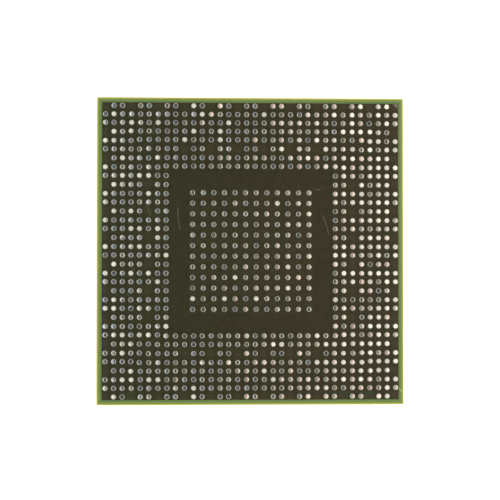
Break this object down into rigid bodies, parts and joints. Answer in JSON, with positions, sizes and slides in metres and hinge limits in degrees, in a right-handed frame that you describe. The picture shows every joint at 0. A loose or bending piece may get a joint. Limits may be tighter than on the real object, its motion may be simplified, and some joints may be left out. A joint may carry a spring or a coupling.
{
  "type": "ball grid array package",
  "caption": "Square flip-chip ball grid array: bare die and capacitors on one side of a thin laminate board, solder balls in edge rows and a centre field on the other.",
  "frame": {"origin": "centre of the die's back face, which is the lowest face and the one it rests on", "axes": "+Z from the die through the board to the solder balls; +X and +Y along the board's edges, with the bare corner triangle that marks the first ball at +X and +Y"},
  "size_m": [0.029, 0.029, 0.0023],
  "materials": {
    "silicon": "polished",
    "bump_solder": "satin",
    "underfill": "satin",
    "green_mask": "satin",
    "copper": "satin",
    "resin": "matte",
    "laminate": "matte",
    "land_finish": "satin",
    "olive_mask": "satin",
    "ball_solder": "satin",
    "ceramic": "matte",
    "plating": "satin"
  },
  "bodies": {
    "root": {"die": "silicon", "die_bumps": "bump_solder", "underfill": "underfill", "die_side_mask": "green_mask", "die_side_copper": "copper", "die_side_build_up": "resin", "core_laminate": "laminate", "core_vias": "copper", "ball_side_build_up": "resin", "ball_side_copper": "copper", "ball_lands": "land_finish", "ball_side_mask": "olive_mask", "balls_front": "ball_solder", "balls_right": "ball_solder", "balls_back": "ball_solder", "balls_left": "ball_solder", "balls_centre": "ball_solder", "capacitor_pads": "land_finish", "capacitor_solder": "bump_solder", "capacitor_body_1": "ceramic", "capacitor_body_2": "ceramic", "capacitor_body_3": "ceramic", "capacitor_body_4": "ceramic", "capacitor_body_5": "ceramic", "capacitor_body_6": "ceramic", "capacitor_body_7": "ceramic", "capacitor_body_8": "ceramic", "capacitor_body_9": "ceramic", "capacitor_body_10": "ceramic", "capacitor_body_11": "ceramic", "capacitor_body_12": "ceramic", "capacitor_body_13": "ceramic", "capacitor_body_14": "ceramic", "capacitor_body_15": "ceramic", "capacitor_body_16": "ceramic", "capacitor_ends_1": "plating", "capacitor_ends_2": "plating", "capacitor_ends_3": "plating", "capacitor_ends_4": "plating", "capacitor_ends_5": "plating", "capacitor_ends_6": "plating", "capacitor_ends_7": "plating", "capacitor_ends_8": "plating", "capacitor_ends_9": "plating", "capacitor_ends_10": "plating", "capacitor_ends_11": "plating", "capacitor_ends_12": "plating", "capacitor_ends_13": "plating", "capacitor_ends_14": "plating", "capacitor_ends_15": "plating", "capacitor_ends_16": "plating"}
  },
  "joints": []
}
